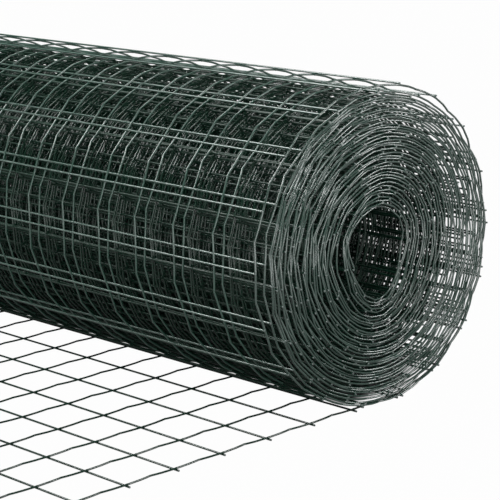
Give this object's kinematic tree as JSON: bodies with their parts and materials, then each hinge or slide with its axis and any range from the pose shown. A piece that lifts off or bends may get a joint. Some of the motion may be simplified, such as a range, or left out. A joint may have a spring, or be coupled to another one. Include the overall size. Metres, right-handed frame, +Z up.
{
  "type": "roll of welded wire fencing",
  "caption": "Roll of green plastic-coated welded wire fencing with square mesh, an open bore and its unrolled end lying flat under and in front of it.",
  "frame": {"origin": "on the floor, under the middle of the whole object's box", "axes": "+X along the roll's axis, +Y from the free end towards the roll, +Z up"},
  "size_m": [1.0108, 0.9406, 0.4289],
  "materials": {
    "coated_wire": "dark green plastic coat with a soft sheen"
  },
  "bodies": {
    "root": {"mesh_roll": "coated_wire", "free_end": "coated_wire"}
  },
  "joints": []
}
